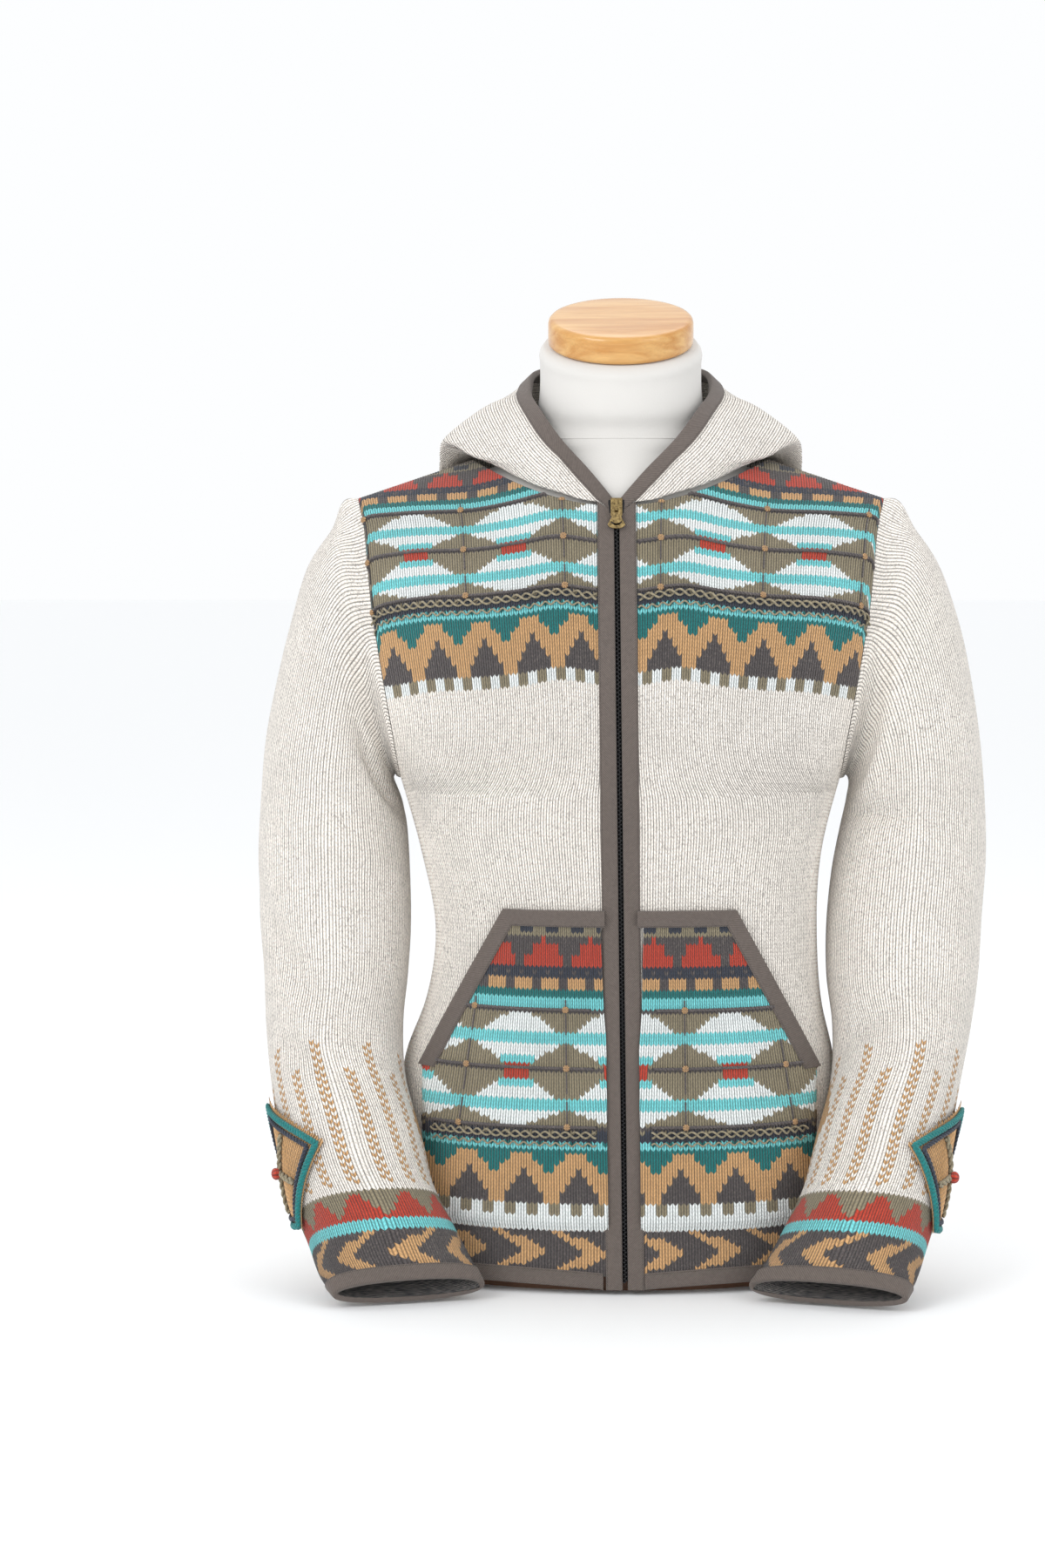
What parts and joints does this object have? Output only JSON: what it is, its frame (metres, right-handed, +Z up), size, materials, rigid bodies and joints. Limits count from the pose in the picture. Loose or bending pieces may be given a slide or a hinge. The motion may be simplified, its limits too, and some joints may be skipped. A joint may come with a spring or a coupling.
{
  "type": "hooded sweater on a dress form",
  "caption": "Hooded full-zip knit cardigan with two front pockets, sleeve patches and tape-bound edges, worn by a limbless padded dress form with a wooden neck cap.",
  "frame": {"origin": "on the table, under the middle of the dress form's base board", "axes": "+Z up, -Y towards the zip at the front, +X towards the wearer's left"},
  "size_m": [0.5559, 0.3118, 0.744],
  "materials": {
    "cream_knit": "wool stockinette knit, cream heather",
    "patterned_knit": "stranded wool knit in several colours",
    "twill_tape": "taupe twill tape",
    "patch_knit": "tan wool knit with a cable cross",
    "crochet_edge": "teal crochet",
    "rust_wool": "rust wool bobble",
    "zip_tape": "black woven tape",
    "zip_coil": "black nylon coil",
    "antique_brass": "antique, worn",
    "jersey_cover": "off-white cotton jersey, stretched",
    "varnished_wood": "honey varnish",
    "brown_board": "plain brown board"
  },
  "bodies": {
    "cardigan_on_form": {"front_left": "cream_knit", "front_right": "cream_knit", "back_panel": "cream_knit", "sleeve_left": "cream_knit", "sleeve_right": "cream_knit", "hood": "cream_knit", "pocket_left": "patterned_knit", "pocket_right": "patterned_knit", "binding_front_left": "twill_tape", "binding_front_right": "twill_tape", "binding_hem": "twill_tape", "binding_hood": "twill_tape", "binding_cuff_left": "twill_tape", "binding_cuff_right": "twill_tape", "binding_pocket_left": "twill_tape", "binding_pocket_right": "twill_tape", "patch_left": "patch_knit", "patch_right": "patch_knit", "patch_outline_left": "crochet_edge", "patch_outline_right": "crochet_edge", "patch_bobble_left": "rust_wool", "patch_bobble_right": "rust_wool", "zip_tape_left": "zip_tape", "zip_tape_right": "zip_tape", "zip_teeth": "zip_coil", "zip_slider": "antique_brass", "form_torso": "jersey_cover", "form_neck_cap": "varnished_wood", "form_base": "brown_board"},
    "pull": {"zip_pull": "antique_brass"}
  },
  "joints": [
    {"name": "pull_swing", "type": "hinge", "parent": "cardigan_on_form", "child": "pull", "pos_m": [-0.00285, -0.10191, 0.58194], "axis": [1, 0, 0], "range_deg": [-120, 0]}
  ]
}
